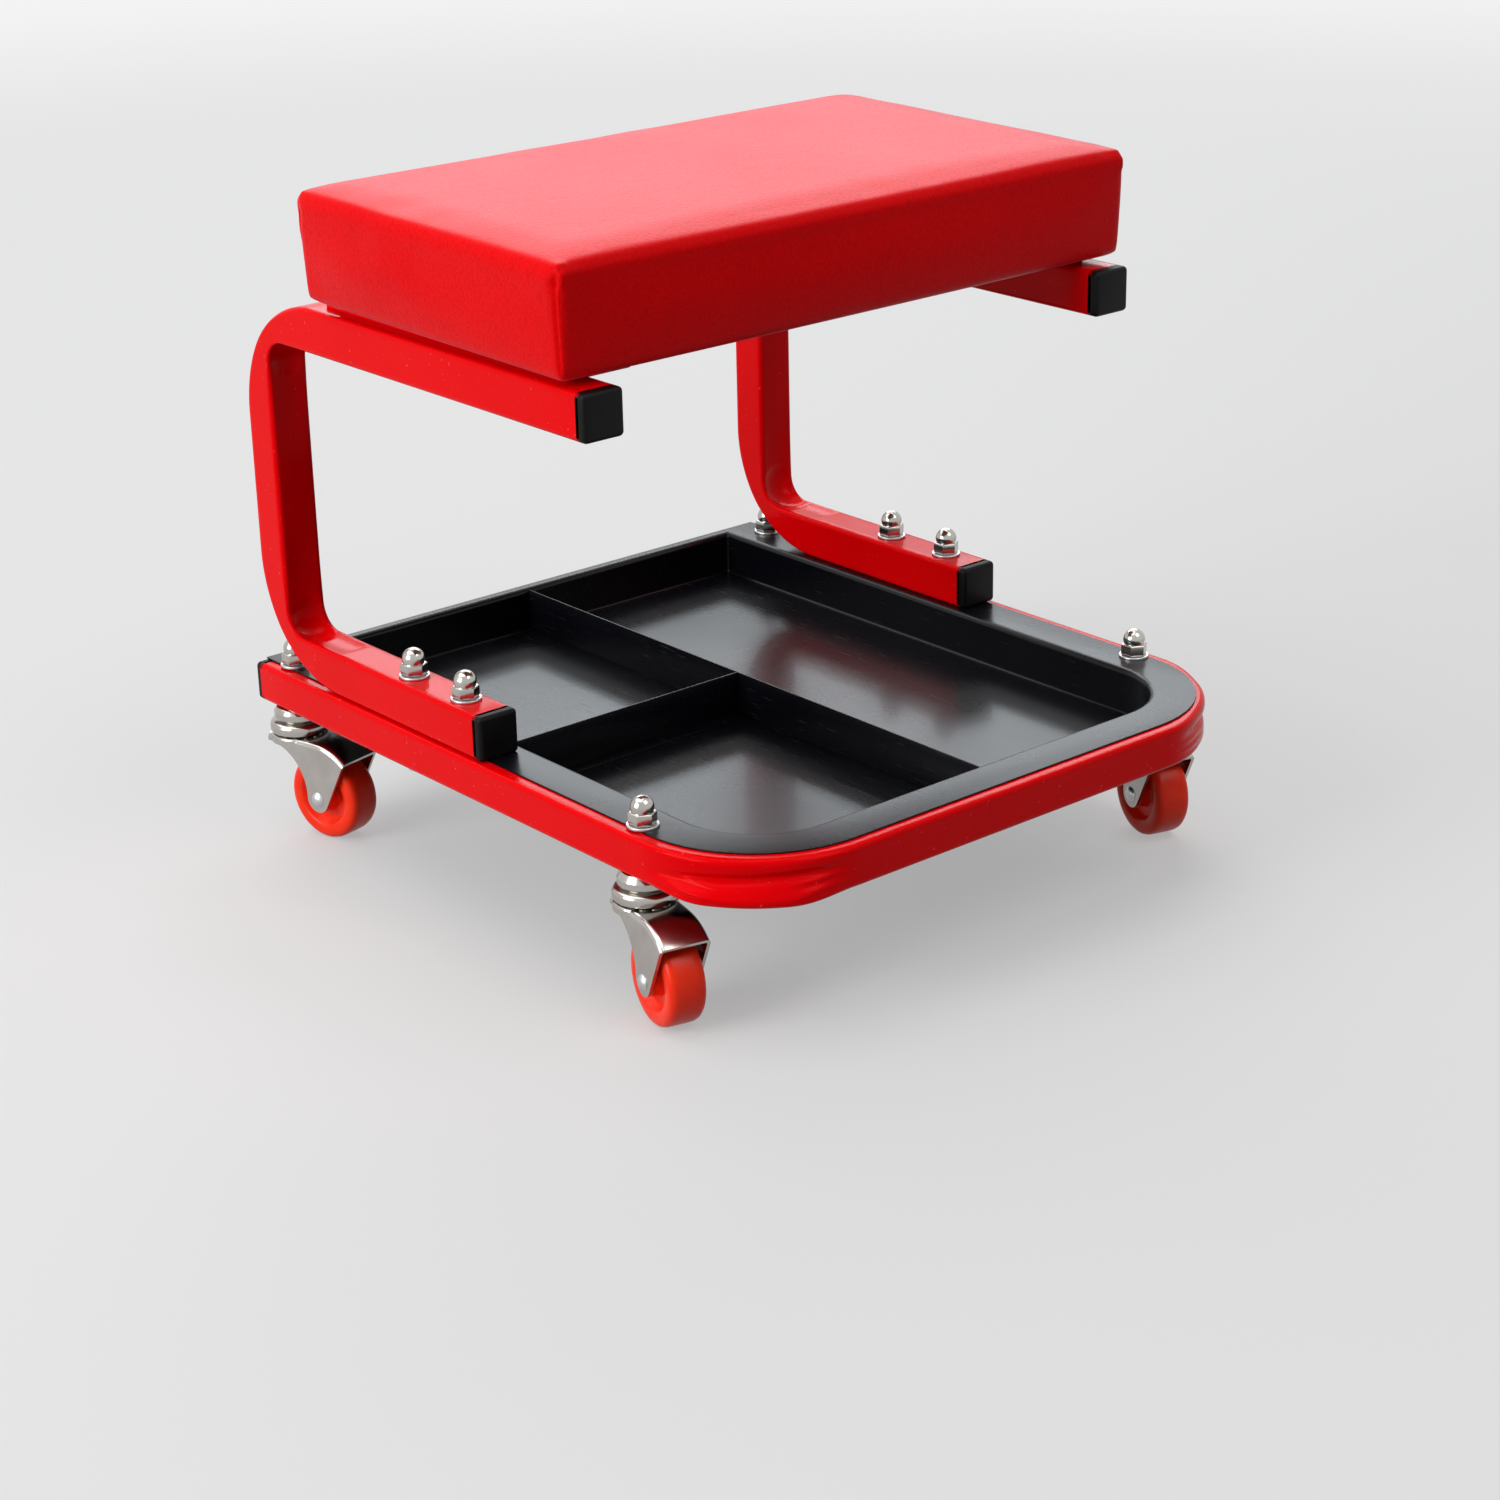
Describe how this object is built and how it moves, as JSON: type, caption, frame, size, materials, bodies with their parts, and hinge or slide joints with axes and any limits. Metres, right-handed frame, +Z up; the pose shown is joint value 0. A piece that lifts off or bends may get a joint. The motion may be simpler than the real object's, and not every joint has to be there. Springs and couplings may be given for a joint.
{
  "type": "creeper seat",
  "caption": "Rolling creeper seat: padded red vinyl seat on two bent square tube frames over a divided black tool tray, on swivel casters.",
  "frame": {"origin": "on the floor, under the middle of the object's outline", "axes": "+X to the right, +Y to the rear where the seat frames' uprights stand, +Z up"},
  "size_m": [0.4048, 0.4326, 0.3843],
  "materials": {
    "red_paint": "gloss",
    "tray_paint": "gloss",
    "black_plastic": "satin",
    "red_vinyl": "satin grain",
    "foam": "open cell",
    "plywood": "raw",
    "zinc": "bright zinc",
    "bright_chrome": "bright plated",
    "wheel_plastic": "gloss"
  },
  "bodies": {
    "seat_and_base": {"base_frame": "red_paint", "base_plugs": "black_plastic", "tool_tray": "tray_paint", "long_divider": "tray_paint", "cross_divider": "tray_paint", "seat_frame_left": "red_paint", "seat_frame_right": "red_paint", "seat_plate_left": "red_paint", "seat_plate_right": "red_paint", "upper_arm_plugs": "black_plastic", "lower_arm_plugs": "black_plastic", "seat_cover": "red_vinyl", "seat_foam": "foam", "seat_board": "plywood", "seat_tee_nuts": "zinc", "seat_bolts": "zinc", "seat_bolt_washers": "zinc", "frame_bolts": "zinc", "frame_washers": "zinc", "frame_cap_nuts": "bright_chrome", "caster_washers": "zinc", "caster_cap_nuts": "bright_chrome", "stem_front_left": "zinc", "race_cap_front_left": "bright_chrome", "race_balls_front_left": "bright_chrome", "stem_front_right": "zinc", "race_cap_front_right": "bright_chrome", "race_balls_front_right": "bright_chrome", "stem_rear_left": "zinc", "race_cap_rear_left": "bright_chrome", "race_balls_rear_left": "bright_chrome", "stem_rear_right": "zinc", "race_cap_rear_right": "bright_chrome", "race_balls_rear_right": "bright_chrome"},
    "fork_front_left": {"fork_front_left": "bright_chrome", "axle_front_left": "zinc", "bush_front_left": "zinc"},
    "wheel_front_left": {"wheel_front_left": "wheel_plastic"},
    "fork_front_right": {"fork_front_right": "bright_chrome", "axle_front_right": "zinc", "bush_front_right": "zinc"},
    "wheel_front_right": {"wheel_front_right": "wheel_plastic"},
    "fork_rear_left": {"fork_rear_left": "bright_chrome", "axle_rear_left": "zinc", "bush_rear_left": "zinc"},
    "wheel_rear_left": {"wheel_rear_left": "wheel_plastic"},
    "fork_rear_right": {"fork_rear_right": "bright_chrome", "axle_rear_right": "zinc", "bush_rear_right": "zinc"},
    "wheel_rear_right": {"wheel_rear_right": "wheel_plastic"}
  },
  "joints": [
    {"name": "caster_front_left_swivel", "type": "hinge", "parent": "seat_and_base", "child": "fork_front_left", "pos_m": [-0.1785, -0.1256, 0.0665], "axis": [0, 0, 1], "continuous": true},
    {"name": "wheel_front_left_spin", "type": "hinge", "parent": "fork_front_left", "child": "wheel_front_left", "pos_m": [-0.1839, -0.14898, 0.025], "axis": [0.9744, -0.225, 0], "continuous": true},
    {"name": "caster_front_right_swivel", "type": "hinge", "parent": "seat_and_base", "child": "fork_front_right", "pos_m": [0.1785, -0.1256, 0.0665], "axis": [0, 0, 1], "continuous": true},
    {"name": "wheel_front_right_spin", "type": "hinge", "parent": "fork_front_right", "child": "wheel_front_right", "pos_m": [0.17188, -0.14867, 0.025], "axis": [0.9613, -0.2756, 0], "continuous": true},
    {"name": "caster_rear_left_swivel", "type": "hinge", "parent": "seat_and_base", "child": "fork_rear_left", "pos_m": [-0.1785, 0.1936, 0.0665], "axis": [0, 0, 1], "continuous": true},
    {"name": "wheel_rear_left_spin", "type": "hinge", "parent": "fork_rear_left", "child": "wheel_rear_left", "pos_m": [-0.1731, 0.17022, 0.025], "axis": [0.9744, 0.225, 0], "continuous": true},
    {"name": "caster_rear_right_swivel", "type": "hinge", "parent": "seat_and_base", "child": "fork_rear_right", "pos_m": [0.1785, 0.1936, 0.0665], "axis": [0, 0, 1], "continuous": true},
    {"name": "wheel_rear_right_spin", "type": "hinge", "parent": "fork_rear_right", "child": "wheel_rear_right", "pos_m": [0.1839, 0.17022, 0.025], "axis": [0.9744, 0.225, 0], "continuous": true}
  ]
}
